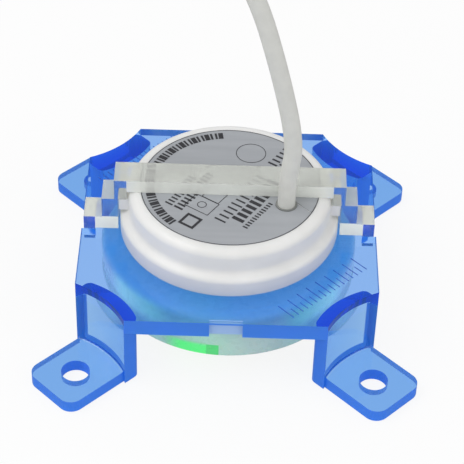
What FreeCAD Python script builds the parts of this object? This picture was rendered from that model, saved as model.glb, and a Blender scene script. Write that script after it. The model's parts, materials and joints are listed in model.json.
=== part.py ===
import FreeCAD, Part
import math
import os
import re
import Sketcher
from FreeCAD import Placement, Rotation, Vector

# Water leak sensor on a four-legged bracket, in millimetres.
# The origin is on the floor, under the middle of the plate; +Z is up and +X is to the right.
# The sensor's head stands on the plate, its sensing cup hangs under it, and a bar locks the head.

SIZES = {
    # Mounting bracket: a square plate on four corner legs with feet
    "plate_side": 67.5,
    "plate_thick": 4.0,
    "plate_height": 19.4,
    "leg_width": 16.3,
    "leg_wall": 4.0,
    "leg_round": 1.6,
    "leg_bow": 20.0,
    "corner_sag": 1.5,
    "foot_length": 17.1,
    "foot_width": 15.0,
    "foot_thick": 3.0,
    "foot_round": 3.1,
    "foot_fillet": 0.8,
    "hole_inset": 8.1,
    "hole_diameter": 6.4,
    "recess_width": 7.3,
    "recess_depth": 0.9,
    "recess_roof": 0.5,
    # Neck, thread and locating rib between head, plate and cup
    "neck_diameter": 40.0,
    "neck_wall": 2.0,
    "neck_gap": 0.3,
    "thread_gap": 0.06,
    "neck_end_gap": 1.1,
    "rib_width": 4.0,
    "rib_reach": 1.0,
    "rib_gap": 0.15,
    # Sensor head
    "flange_rim": 5.0,
    "flange_height": 4.2,
    "flange_slope": 1.0,
    "flange_round": 1.4,
    "head_rim": 3.1,
    "head_height": 10.9,
    "head_round": 1.9,
    "head_roof": 2.4,
    "lug_length": 2.0,
    "lug_width": 6.4,
    "lug_bottom": 5.6,
    "lug_height": 3.0,
    "lug_root": 1.0,
    # Label on the head
    "label_rim": 2.75,
    "label_thick": 0.2,
    "label_gap": 0.05,
    "slit_width": 0.3,
    "slit_start": 13.6,
    "slit_offset": 6.87,
    # Sensing cup
    "cup_rim": 9.4,
    "cup_height": 10.75,
    "cup_gap": 0.05,
    "cup_wall": 2.2,
    "cup_floor": 1.8,
    "cup_roof": 2.4,
    "cup_top_round": 2.4,
    "cup_base_round": 1.3,
    "socket_wall": 2.0,
    "socket_lead": 1.5,
    # Seals
    "seal_section": 1.4,
    "seal_gap": 0.06,
    "seal_inset": 1.6,
    # Retaining bar
    "bar_width": 6.8,
    "bar_overhang": 3.0,
    "bar_thick": 3.15,
    "bar_rest_gap": 0.05,
    "bar_gap": 0.15,
    "bar_leg": 3.7,
    "upper_step": 5.3,
    "lower_step": 5.4,
    "bar_foot_inset": 0.55,
    "bar_foot_gap": 0.08,
    "bar_side_gap": 0.3,
    "tab_thick": 2.5,
    "tab_drop": 5.0,
    "notch_gap": 0.2,
    # Cable and its entry
    "cable_diameter": 4.0,
    "cable_edge": 3.95,
    "cable_angle": -25.3,
    "cable_inset": 7.0,
    "collar_diameter": 4.8,
    "collar_stand": 0.3,
    "collar_gap": 0.05,
    "collar_flange": 6.4,
    "collar_flange_thick": 1.5,
    "grip_diameter": 6.0,
    "grip_length": 2.1,
    "core_diameter": 1.2,
    "core_offset": 0.8,
    "core_length": 26.0,
    "core_fan": 3.4,
    "ferrule_diameter": 1.7,
    "ferrule_length": 8.0,
    # Put-away coil of the cable
    "coil_x": -102.0,
    "coil_y": 15.0,
    "coil_inner_radius": 15.5,
    "coil_step": 5.1,
    "coil_layer_step": 5.0,
    "coil_layer_turns": 2.75,
    "coil_climb_turns": 0.5,
    "coil_layers": 4,
    "floor_clearance": 0.05,
    # Electrodes and board
    "electrode_thick": 0.5,
    "guard_spacing": 2.4,
    "guard_gap": 0.2,
    "holder_height": 5.1,
    "holder_wall": 2.2,
    "pin_diameter": 2.4,
    "board_gap": 0.2,
    "board_thick": 1.6,
    "potting_thick": 4.6,
    "potting_gap": 0.1,
    # Parts on the board
    "can_x": -5.5,
    "can_y": 3.0,
    "can_length": 13.0,
    "can_width": 11.0,
    "can_height": 3.2,
    "can_wall": 0.3,
    "chip_side": 5.0,
    "chip_height": 1.2,
    "driver_x": 7.5,
    "driver_y": 6.0,
    "driver_length": 6.5,
    "driver_width": 3.5,
    "driver_height": 1.6,
    "regulator_x": 7.0,
    "regulator_y": 0.5,
    "regulator_length": 4.5,
    "regulator_width": 2.5,
    "regulator_height": 1.5,
    "capacitor_x": -9.0,
    "capacitor_y": -6.0,
    "capacitor_length": 3.5,
    "capacitor_width": 2.8,
    "capacitor_height": 1.9,
    "capacitor_pitch": 4.4,
    "resistor_x": -7.0,
    "resistor_y": -11.0,
    "resistor_length": 1.0,
    "resistor_width": 2.0,
    "resistor_height": 0.6,
    "resistor_pitch": 2.2,
    "diode_x": 0.5,
    "diode_inset": 5.3,
    "diode_length": 3.6,
    "diode_diameter": 1.6,
    "solder_height": 0.5,
    "solder_spread": 0.2,
    # Indicator lamp and its light guide in the cup
    "guide_left": -13.3,
    "guide_right": -1.4,
    "guide_gap": 0.2,
    "guide_height": 5.6,
    "lamp_angle": -105.0,
    "lamp_length": 2.0,
    "lamp_width": 1.6,
    "lamp_height": 0.8,
    "flex_width": 3.0,
    "flex_thick": 0.25,
    "flex_start": 13.5,
    "flex_gap": 0.3,
}

CAPACITOR_COUNT = 3
RESISTOR_COUNT = 6
QUARTERS = 4
CORE_COLOURS = ("brown", "blue", "black", "white")
CORE_RANKS = (-1.5, 0.5, 1.5, -0.5)

# Angles in degrees
DIAGONAL = 45
QUARTER_TURN = 90
FULL_TURN = 360

# Levels above the floor, worked out from the sizes
PLATE_BOTTOM = "(plate_height - plate_thick)"
CUP_TOP = f"({PLATE_BOTTOM} - cup_gap)"
CUP_BOTTOM = f"({CUP_TOP} - cup_height)"
CUP_FLOOR_TOP = f"({CUP_BOTTOM} + cup_floor)"
CUP_ROOF_BOTTOM = f"({CUP_TOP} - cup_roof)"
ELECTRODE_TOP = f"({CUP_FLOOR_TOP} + electrode_thick)"
NECK_END = f"({ELECTRODE_TOP} + neck_end_gap)"
HEAD_TOP = "(plate_height + head_height)"
LABEL_BOTTOM = f"({HEAD_TOP} - label_thick)"
HEAD_CEILING = f"({LABEL_BOTTOM} - head_roof)"
FLANGE_TOP = "(plate_height + flange_height)"
BOARD_BOTTOM = f"({ELECTRODE_TOP} + holder_height)"
BOARD_TOP = f"({BOARD_BOTTOM} + board_thick)"
BAR_BOTTOM = f"({HEAD_TOP} + bar_rest_gap)"
BAR_TOP = f"({BAR_BOTTOM} + bar_thick)"
CABLE_END = f"({HEAD_CEILING} - cable_inset)"
COLLAR_TOP = f"({HEAD_TOP} + collar_stand)"

# Reaches from the axis, worked out from the sizes
CORNER_VERTEX = "(plate_side / sqrt(2) - leg_width / 2)"
CORNER_REACH = f"({CORNER_VERTEX} - corner_sag)"
CORNER_ARC = "((leg_width * leg_width / 4 + corner_sag * corner_sag) / (2 * corner_sag))"
LEG_INNER = f"({CORNER_VERTEX} - leg_wall)"
FOOT_REACH = f"({CORNER_REACH} + foot_length)"
HOLE_REACH = f"({FOOT_REACH} - hole_inset)"
NECK_REACH = "(neck_diameter / 2)"
HEAD_BORE = f"({NECK_REACH} - neck_wall)"
BOARD_RADIUS = f"({HEAD_BORE} - board_gap)"
FLANGE_REACH = f"({NECK_REACH} + flange_rim)"
HEAD_REACH = f"({NECK_REACH} + head_rim)"
LABEL_REACH = f"({HEAD_REACH} - label_rim)"
CUP_REACH = f"({NECK_REACH} + cup_rim)"
CUP_INNER = f"({CUP_REACH} - cup_wall)"
SOCKET_BORE = f"({NECK_REACH} + thread_gap)"
SOCKET_OUTER = f"({SOCKET_BORE} + socket_wall)"
LAMP_REACH = f"(({SOCKET_OUTER} + {CUP_INNER}) / 2)"
FLANGE_SEAL_INNER = f"({NECK_REACH} + seal_inset)"
SEAL_SPACE = "(seal_section + 2 * seal_gap)"
BAR_FOOT = "(plate_side / 2 - bar_foot_inset)"
CABLE_X = f"(({HEAD_BORE} - cable_edge) * cos(cable_angle))"
CABLE_Y = f"(({HEAD_BORE} - cable_edge) * sin(cable_angle))"

doc = FreeCAD.newDocument("water_leak_sensor")
sheet = doc.addObject("Spreadsheet::Sheet", "dims")
nodes = []


def fill_sheet():
    """Write each driving size into the sheet, beside its name."""
    for row, (alias, size) in enumerate(SIZES.items(), start=1):
        sheet.set(f"A{row}", alias)
        sheet.set(f"B{row}", str(size))
        sheet.setAlias(f"B{row}", alias)
    doc.recompute()


def bound(text):
    """Turn each size's name in an expression into its cell."""
    return re.sub(r"[a-z][a-z_]*", lambda word: "dims." + word[0] if word[0] in SIZES else word[0], text)


def number(text):
    """Work out an expression as a plain number."""
    found = sheet.evalExpression(bound(text))
    return float(getattr(found, "Value", found))


def bind(item, **expressions):
    """Bind an object's properties to expressions of the sizes."""
    for name, text in expressions.items():
        item.setExpression(name, bound(text))
    return item


def place(item, across="0", back="0", up="0"):
    """Bind an object's place to expressions of the sizes."""
    item.setExpression("Placement.Base.x", bound(across))
    item.setExpression("Placement.Base.y", bound(back))
    item.setExpression("Placement.Base.z", bound(up))
    return item


def node(item, label):
    """Make an object one of the sub-parts, under its own name."""
    item.Label = label
    nodes.append(item)
    return item


def new_body(label):
    """Start a sub-part that is made of sketches and features."""
    return node(doc.addObject("PartDesign::Body", label), label)


def sketch_on(body, name, role, level="0", turn=0):
    """Put a sketch on one of the body's own planes, raised to a level and turned about its normal."""
    sketch = body.newObject("Sketcher::SketchObject", f"{body.Name}_{name}")
    plane = next(item for item in body.Origin.OriginFeatures if item.Role == role)
    sketch.AttachmentSupport = [(plane, "")]
    sketch.MapMode = "FlatFace"
    sketch.AttachmentOffset = Placement(Vector(0, 0, 0), Rotation(Vector(0, 0, 1), turn))
    sketch.setExpression("AttachmentOffset.Base.z", bound(level))
    return sketch


def fix_point(sketch, geometry, end, across, up):
    """Hold a point of a sketch at its distances from the sketch's origin."""
    for kind, axis, text in (("DistanceX", -2, across), ("DistanceY", -1, up)):
        if text == "0":
            sketch.addConstraint(Sketcher.Constraint("PointOnObject", geometry, end, axis))
        else:
            made = sketch.addConstraint(Sketcher.Constraint(kind, -1, 1, geometry, end, number(text)))
            sketch.setExpression(f"Constraints[{made}]", bound(text))


def outline(sketch, corners):
    """Draw a closed outline through corners given as (across, up) or (across, up, rounding)."""
    spots = [Vector(number(corner[0]), number(corner[1]), 0) for corner in corners]
    count = len(corners)
    arrivals = list(spots)
    departures = list(spots)
    arcs = {}
    for index, corner in enumerate(corners):
        if len(corner) < 3:
            continue
        spot = spots[index]
        back = (spots[index - 1] - spot).normalize()
        ahead = (spots[(index + 1) % count] - spot).normalize()
        half_turn = (math.pi - back.getAngle(ahead)) / 2
        radius = number(corner[2])
        arrivals[index] = spot + back * radius * math.tan(half_turn)
        departures[index] = spot + ahead * radius * math.tan(half_turn)
        centre = spot + (back + ahead).normalize() * radius / math.cos(half_turn)
        left_turn = back.cross(ahead).z < 0
        arcs[index] = (centre, radius, left_turn)
    lines = []
    for index in range(count):
        segment = Part.LineSegment(departures[index], arrivals[(index + 1) % count])
        lines.append(sketch.addGeometry(segment, False))
    for index, corner in enumerate(corners):
        before = lines[index - 1]
        after = lines[index]
        if index not in arcs:
            sketch.addConstraint(Sketcher.Constraint("Coincident", before, 2, after, 1))
            fix_point(sketch, after, 1, corner[0], corner[1])
            continue
        centre, radius, left_turn = arcs[index]
        first = arrivals[index] if left_turn else departures[index]
        last = departures[index] if left_turn else arrivals[index]
        start = math.atan2(first.y - centre.y, first.x - centre.x)
        stop = math.atan2(last.y - centre.y, last.x - centre.x)
        whole = Part.Circle(centre, Vector(0, 0, 1), radius)
        arc = sketch.addGeometry(Part.ArcOfCircle(whole, start, stop), False)
        tip = sketch.addGeometry(Part.Point(spots[index]), True)
        entering, leaving = (1, 2) if left_turn else (2, 1)
        fix_point(sketch, tip, 1, corner[0], corner[1])
        sketch.addConstraint(Sketcher.Constraint("PointOnObject", tip, 1, before))
        sketch.addConstraint(Sketcher.Constraint("PointOnObject", tip, 1, after))
        sketch.addConstraint(Sketcher.Constraint("Tangent", before, 2, arc, entering))
        sketch.addConstraint(Sketcher.Constraint("Tangent", arc, leaving, after, 1))
        made = sketch.addConstraint(Sketcher.Constraint("Radius", arc, radius))
        sketch.setExpression(f"Constraints[{made}]", bound(corner[2]))


def rectangle(sketch, left, right, near, far):
    """Draw a rectangle between two distances across and two up the sketch."""
    outline(sketch, [(left, near), (right, near), (right, far), (left, far)])


def circle(sketch, across, up, radius):
    """Draw a circle with its centre and radius held."""
    centre = Vector(number(across), number(up), 0)
    drawn = sketch.addGeometry(Part.Circle(centre, Vector(0, 0, 1), number(radius)), False)
    fix_point(sketch, drawn, 3, across, up)
    made = sketch.addConstraint(Sketcher.Constraint("Radius", drawn, number(radius)))
    sketch.setExpression(f"Constraints[{made}]", bound(radius))


def pad(body, sketch, length):
    """Raise a sketch by a length, along its normal."""
    feature = body.newObject("PartDesign::Pad", f"{sketch.Name}_pad")
    feature.Profile = sketch
    return bind(feature, Length=length)


def pocket(body, sketch, length):
    """Cut a sketch into the body by a length, against its normal."""
    feature = body.newObject("PartDesign::Pocket", f"{sketch.Name}_pocket")
    feature.Profile = sketch
    return bind(feature, Length=length)


def turned(label, corners):
    """Make a body of revolution about +Z from corners (reach, level) or (reach, level, rounding)."""
    body = new_body(label)
    sketch = sketch_on(body, "profile", "XZ_Plane")
    outline(sketch, corners)
    feature = body.newObject("PartDesign::Revolution", f"{label}_turned")
    feature.Profile = sketch
    feature.ReferenceAxis = (sketch, ["V_Axis"])
    feature.Angle = FULL_TURN
    return body


def ring(label, inner, outer, bottom, top):
    """Make a plain flat ring about the axis."""
    return turned(label, [(inner, bottom), (outer, bottom), (outer, top), (inner, top)])


def disc(label, radius, bottom, top):
    """Make a plain disc about the axis."""
    return ring(label, "0", radius, bottom, top)


def block(label, middle_x, middle_y, bottom, length, width, height):
    """Make a box about a middle point, standing on a level."""
    item = doc.addObject("Part::Box", label)
    bind(item, Length=length, Width=width, Height=height)
    return place(item, f"{middle_x} - {length} / 2", f"{middle_y} - {width} / 2", bottom)


def rod(label, radius, height, across="0", back="0", up="0"):
    """Make an upright cylinder."""
    item = bind(doc.addObject("Part::Cylinder", label), Radius=radius, Height=height)
    return place(item, across, back, up)


def join(kind, label, first, second):
    """Combine two objects into one with a Cut, Fuse or Common."""
    item = doc.addObject(f"Part::{kind}", label)
    item.Base = first
    item.Tool = second
    return item


def group(label, items):
    """Keep several equal pieces as the separate solids of one sub-part."""
    item = doc.addObject("Part::Compound", label)
    item.Links = items
    return node(item, label)


def make_bracket():
    """Square plate, four corner legs with feet, and the openings for neck, rib and bar."""
    body = new_body("mounting_bracket")
    plate = sketch_on(body, "plate", "XY_Plane", PLATE_BOTTOM)
    rectangle(plate, "-plate_side / 2", "plate_side / 2", "-plate_side / 2", "plate_side / 2")
    pad(body, plate, "plate_thick")

    # One corner, drawn along the plate's diagonal, is repeated at the other three.
    # The leg's two faces are bowed alike towards the plate's middle.
    leg = sketch_on(body, "leg", "XY_Plane", "0", DIAGONAL)
    outline(leg, [
        (LEG_INNER, "-leg_width / 2", "leg_round"),
        (CORNER_VERTEX, "-leg_width / 2"),
        (CORNER_VERTEX, "leg_width / 2"),
        (LEG_INNER, "leg_width / 2", "leg_round"),
        (f"{LEG_INNER} - 2 * corner_sag", "0", "leg_bow"),
    ])
    leg_pad = pad(body, leg, "plate_height")
    corner = sketch_on(body, "corner", "XY_Plane", "plate_height", DIAGONAL)
    circle(corner, f"{CORNER_REACH} + {CORNER_ARC}", "0", CORNER_ARC)
    corner_pocket = pocket(body, corner, "plate_height")
    foot = sketch_on(body, "foot", "XY_Plane", "0", DIAGONAL)
    outline(foot, [
        (f"{LEG_INNER} + leg_wall / 2", "-foot_width / 2"),
        (FOOT_REACH, "-foot_width / 2", "foot_round"),
        (FOOT_REACH, "foot_width / 2", "foot_round"),
        (f"{LEG_INNER} + leg_wall / 2", "foot_width / 2"),
    ])
    foot_pad = pad(body, foot, "foot_thick")
    hole = sketch_on(body, "hole", "XY_Plane", "foot_thick", DIAGONAL)
    circle(hole, HOLE_REACH, "0", "hole_diameter / 2")
    hole_pocket = pocket(body, hole, "foot_thick")
    corners = body.newObject("PartDesign::PolarPattern", "corners")
    corners.Originals = [leg_pad, corner_pocket, foot_pad, hole_pocket]
    corners.Axis = (leg, ["N_Axis"])
    corners.Angle = FULL_TURN
    corners.Occurrences = QUARTERS
    body.Tip = corners
    doc.recompute()

    # Each foot runs up into its leg with a fillet.
    fillet = body.newObject("PartDesign::Fillet", "foot_fillets")
    fillet.Base = (corners, foot_edges(corners.Shape))
    bind(fillet, Radius="foot_fillet")

    bore = sketch_on(body, "bore", "XY_Plane", "plate_height")
    bore_reach = f"({NECK_REACH} + neck_gap)"
    circle(bore, "0", "0", bore_reach)
    pocket(body, bore, "plate_thick")
    slot = sketch_on(body, "rib_slot", "XY_Plane", "plate_height")
    half_slot = "(rib_width / 2 + rib_gap)"
    rectangle(slot, f"-{half_slot}", half_slot, HEAD_BORE, f"{bore_reach} + rib_reach")
    pocket(body, slot, "plate_thick")

    # A recess under a thin roof in the plate's front edge, where the moulding's gate was trimmed
    recess = sketch_on(body, "recess", "XY_Plane", "plate_height - recess_roof")
    half_recess = "(recess_width / 2)"
    front = "(plate_side / 2)"
    rectangle(recess, f"-{half_recess}", half_recess, f"-{front} - recess_roof", f"recess_depth - {front}")
    pocket(body, recess, "plate_thick - recess_roof")
    notch = sketch_on(body, "notch", "XY_Plane", "plate_height")
    inner = f"({BAR_FOOT} - tab_thick - notch_gap)"
    half_bar = "(bar_width / 2 + notch_gap)"
    rectangle(notch, inner, "plate_side / 2 + notch_gap", f"-{half_bar}", half_bar)
    rectangle(notch, "-plate_side / 2 - notch_gap", f"-{inner}", f"-{half_bar}", half_bar)
    pocket(body, notch, "plate_thick")


def foot_edges(shape):
    """Names of the edges where the foot tops meet the legs' outer faces."""
    reach = number(CORNER_REACH)
    level = number("foot_thick")
    near = 0.01
    names = []
    for index, edge in enumerate(shape.Edges, start=1):
        middle = edge.valueAt((edge.FirstParameter + edge.LastParameter) / 2)
        middle_reach = (abs(middle.x) + abs(middle.y)) / math.sqrt(2)
        if abs(middle.z - level) < near and abs(middle_reach - reach) < near:
            names.append(f"Edge{index}")
    return names


def make_head():
    """Head on the plate with its flange, lugs and cable hole, and its neck down into the cup."""
    seal_outer = f"({FLANGE_SEAL_INNER} + {SEAL_SPACE})"
    seal_top = f"(plate_height + {SEAL_SPACE})"
    recess = f"({LABEL_REACH} + label_gap)"
    body = turned("upper_housing", [
        ("0", HEAD_CEILING),
        (HEAD_BORE, HEAD_CEILING),
        (HEAD_BORE, NECK_END),
        (NECK_REACH, NECK_END),
        (NECK_REACH, "plate_height"),
        (FLANGE_SEAL_INNER, "plate_height"),
        (FLANGE_SEAL_INNER, seal_top),
        (seal_outer, seal_top),
        (seal_outer, "plate_height"),
        (FLANGE_REACH, "plate_height"),
        (FLANGE_REACH, FLANGE_TOP, "flange_round"),
        (HEAD_REACH, f"{FLANGE_TOP} + flange_slope", "flange_round"),
        (HEAD_REACH, HEAD_TOP, "head_round"),
        (recess, HEAD_TOP),
        (recess, LABEL_BOTTOM),
        ("0", LABEL_BOTTOM),
    ])
    lugs = sketch_on(body, "lugs", "XY_Plane", "plate_height + lug_bottom")
    root = f"({HEAD_REACH} - lug_root)"
    reach = f"({HEAD_REACH} + lug_length)"
    rectangle(lugs, root, reach, "-lug_width / 2", "lug_width / 2")
    rectangle(lugs, f"-{reach}", f"-{root}", "-lug_width / 2", "lug_width / 2")
    pad(body, lugs, "lug_height")
    rib = sketch_on(body, "rib", "XY_Plane", f"{PLATE_BOTTOM} + rib_gap")
    half_rib = "(rib_width / 2)"
    rectangle(rib, f"-{half_rib}", half_rib, f"{NECK_REACH} - neck_wall / 2", f"{NECK_REACH} + rib_reach")
    pad(body, rib, "plate_thick - rib_gap")
    hole = sketch_on(body, "cable_hole", "XY_Plane", LABEL_BOTTOM)
    circle(hole, CABLE_X, CABLE_Y, "collar_diameter / 2 + collar_gap")
    pocket(body, hole, "head_roof")


def make_cup():
    """Sensing cup under the plate, with the socket that the neck screws into."""
    seal_outer = f"({SOCKET_BORE} + {SEAL_SPACE})"
    seal_bottom = f"({CUP_TOP} - {SEAL_SPACE})"
    socket_end = f"({NECK_END} + socket_lead)"
    turned("lower_housing", [
        ("0", CUP_BOTTOM),
        (CUP_REACH, CUP_BOTTOM, "cup_base_round"),
        (CUP_REACH, CUP_TOP, "cup_top_round"),
        (seal_outer, CUP_TOP),
        (seal_outer, seal_bottom),
        (SOCKET_BORE, seal_bottom),
        (SOCKET_BORE, socket_end),
        (SOCKET_OUTER, socket_end),
        (SOCKET_OUTER, CUP_ROOF_BOTTOM),
        (CUP_INNER, CUP_ROOF_BOTTOM),
        (CUP_INNER, CUP_FLOOR_TOP),
        ("0", CUP_FLOOR_TOP),
    ])


def make_bar():
    """Stepped bar across the head, over the lugs and down to tabs in the plate's side notches."""
    body = new_body("retaining_bar")
    front = sketch_on(body, "front", "XZ_Plane", "-bar_width / 2")
    shoulder = f"({BAR_TOP} - upper_step)"
    foot_top = f"({shoulder} - lower_step)"
    top_reach = f"({HEAD_REACH} + bar_overhang)"
    leg_inner = f"({FLANGE_REACH} + bar_side_gap)"
    leg_outer = f"({leg_inner} + bar_leg)"
    lug_side = f"({HEAD_REACH} + bar_gap)"
    lug_top = "(plate_height + lug_bottom + lug_height + bar_gap)"
    tab_inner = f"({BAR_FOOT} - tab_thick)"
    foot_bottom = "(plate_height + bar_foot_gap)"
    tab_bottom = "(plate_height - tab_drop)"
    right = [
        (top_reach, BAR_TOP),
        (top_reach, shoulder),
        (leg_outer, shoulder),
        (leg_outer, foot_top),
        (BAR_FOOT, foot_top),
        (BAR_FOOT, tab_bottom),
        (tab_inner, tab_bottom),
        (tab_inner, foot_bottom),
        (leg_inner, foot_bottom),
        (leg_inner, lug_top),
        (lug_side, lug_top),
        (lug_side, BAR_BOTTOM),
    ]
    left = [(f"-{across}", up) for across, up in reversed(right)]
    outline(front, right + left)
    pad(body, front, "bar_width")


def make_seals():
    """Round-section seals under the flange and round the neck."""
    section = "seal_section / 2"
    flange = bind(
        doc.addObject("Part::Torus", "flange_seal"),
        Radius1=f"{FLANGE_SEAL_INNER} + {SEAL_SPACE} / 2",
        Radius2=section,
    )
    node(place(flange, up=f"plate_height + {SEAL_SPACE} / 2"), "flange_seal")
    neck = bind(
        doc.addObject("Part::Torus", "neck_seal"),
        Radius1=f"{SOCKET_BORE} + {SEAL_SPACE} / 2",
        Radius2=section,
    )
    node(place(neck, up=f"{CUP_TOP} - {SEAL_SPACE} / 2"), "neck_seal")


def make_label():
    """Thin round label in the head's recess, slit from the cable's hole out to its rim."""
    body = disc("label_disc", LABEL_REACH, LABEL_BOTTOM, HEAD_TOP)
    hole = sketch_on(body, "hole", "XY_Plane", HEAD_TOP)
    circle(hole, CABLE_X, CABLE_Y, "collar_diameter / 2 + collar_gap")
    pocket(body, hole, "label_thick")
    slit = sketch_on(body, "slit", "XY_Plane", HEAD_TOP, -DIAGONAL)
    near = "(slit_offset - slit_width / 2)"
    rectangle(slit, "slit_start", LABEL_REACH, near, f"{near} + slit_width")
    pocket(body, slit, "label_thick")


def make_cable_entry():
    """Flanged collar in the head's roof, the cable's length inside it, and its crimped grip."""
    cable = "(cable_diameter / 2)"
    inner = f"({cable} + collar_gap)"
    flange_bottom = f"({HEAD_CEILING} - collar_flange_thick)"
    collar = turned("cable_collar", [
        (inner, flange_bottom),
        ("collar_flange / 2", flange_bottom),
        ("collar_flange / 2", HEAD_CEILING),
        ("collar_diameter / 2", HEAD_CEILING),
        ("collar_diameter / 2", COLLAR_TOP),
        (inner, COLLAR_TOP),
    ])
    place(collar, CABLE_X, CABLE_Y)
    grip = ring("cable_grip", inner, "grip_diameter / 2", f"{flange_bottom} - grip_length", flange_bottom)
    place(grip, CABLE_X, CABLE_Y)
    stub = disc("cable_stub", cable, CABLE_END, COLLAR_TOP)
    place(stub, CABLE_X, CABLE_Y)


def quarter_offsets(offset):
    """Four places round a point, at the corners of a square."""
    return [(side_x * offset, side_y * offset) for side_x, side_y in ((-1, -1), (1, -1), (1, 1), (-1, 1))]


def make_inner_wires():
    """Four cores from the cable's end straight down to the board, each in its solder joint."""
    joints = []
    for colour, (side_x, side_y) in zip(CORE_COLOURS, quarter_offsets(1)):
        across = f"{CABLE_X} + ({side_x}) * core_offset"
        back = f"{CABLE_Y} + ({side_y}) * core_offset"
        bottom = f"({BOARD_TOP} + solder_height)"
        length = f"{CABLE_END} - {bottom}"
        wire = rod(f"inner_wire_{colour}", "core_diameter / 2", length, across, back, bottom)
        node(wire, f"inner_wire_{colour}")
        joint = bind(
            doc.addObject("Part::Cone", f"solder_{colour}"),
            Radius1="core_diameter / 2 + solder_spread",
            Radius2="core_diameter / 2",
            Height="solder_height",
        )
        joints.append(place(joint, across, back, BOARD_TOP))
    group("solder_joints", joints)


def make_electrodes():
    """Sensing disc and guard ring on the cup's floor, with the pin and holder that carry the board."""
    disc("sensing_electrode", HEAD_BORE, CUP_FLOOR_TOP, ELECTRODE_TOP)
    guard_inner = f"({HEAD_BORE} + guard_spacing)"
    ring("guard_ring", guard_inner, f"{CUP_INNER} - guard_gap", CUP_FLOOR_TOP, ELECTRODE_TOP)
    disc("contact_pin", "pin_diameter / 2", ELECTRODE_TOP, BOARD_BOTTOM)
    holder_inner = f"({BOARD_RADIUS} - holder_wall)"
    body = ring("electrode_holder", holder_inner, BOARD_RADIUS, ELECTRODE_TOP, BOARD_BOTTOM)
    passage = sketch_on(body, "passage", "XY_Plane", f"{ELECTRODE_TOP} + flex_thick + flex_gap", lamp_turn())
    half = "(flex_width / 2 + flex_gap)"
    rectangle(passage, "flex_start", BOARD_RADIUS, f"-{half}", half)
    pocket(body, passage, "flex_thick + flex_gap")


def lamp_turn():
    """Direction of the indicator lamp, seen from above."""
    return number("lamp_angle")


def make_board():
    """Round circuit board in the neck, and the parts that stand on it."""
    disc("circuit_board", BOARD_RADIUS, BOARD_BOTTOM, BOARD_TOP)
    outside = block("can_outside", "can_x", "can_y", BOARD_TOP, "can_length", "can_width", "can_height")
    inside = block(
        "can_inside", "can_x", "can_y", BOARD_TOP,
        "(can_length - 2 * can_wall)", "(can_width - 2 * can_wall)", "(can_height - can_wall)",
    )
    node(join("Cut", "shield_can", outside, inside), "shield_can")
    chip = block("oscillator_chip", "can_x", "can_y", BOARD_TOP, "chip_side", "chip_side", "chip_height")
    node(chip, "oscillator_chip")
    for label, part in (("output_driver", "driver"), ("voltage_regulator", "regulator")):
        item = block(
            label, f"{part}_x", f"{part}_y", BOARD_TOP,
            f"{part}_length", f"{part}_width", f"{part}_height",
        )
        node(item, label)
    capacitors = []
    for index in range(CAPACITOR_COUNT):
        capacitors.append(block(
            f"capacitor_{index + 1}", f"(capacitor_x + {index} * capacitor_pitch)", "capacitor_y", BOARD_TOP,
            "capacitor_length", "capacitor_width", "capacitor_height",
        ))
    group("capacitors", capacitors)
    resistors = []
    for index in range(RESISTOR_COUNT):
        resistors.append(block(
            f"resistor_{index + 1}", f"(resistor_x + {index} * resistor_pitch)", "resistor_y", BOARD_TOP,
            "resistor_length", "resistor_width", "resistor_height",
        ))
    group("resistors", resistors)
    diode = bind(
        doc.addObject("Part::Cylinder", "protection_diode"),
        Radius="diode_diameter / 2",
        Height="diode_length",
    )
    diode.Placement = Placement(Vector(0, 0, 0), Rotation(Vector(0, 1, 0), QUARTER_TURN))
    diode_up = f"{BOARD_TOP} + diode_diameter / 2"
    place(diode, "diode_x - diode_length / 2", f"{BOARD_RADIUS} - diode_inset", diode_up)
    node(diode, "protection_diode")


def make_potting():
    """Potting compound under the head's ceiling, round the collar's flange and grip."""
    body = disc("potting_fill", f"{HEAD_BORE} - potting_gap", f"{HEAD_CEILING} - potting_thick", HEAD_CEILING)
    hole = sketch_on(body, "hole", "XY_Plane", HEAD_CEILING)
    circle(hole, CABLE_X, CABLE_Y, "collar_flange / 2 + potting_gap")
    pocket(body, hole, "potting_thick")


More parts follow.
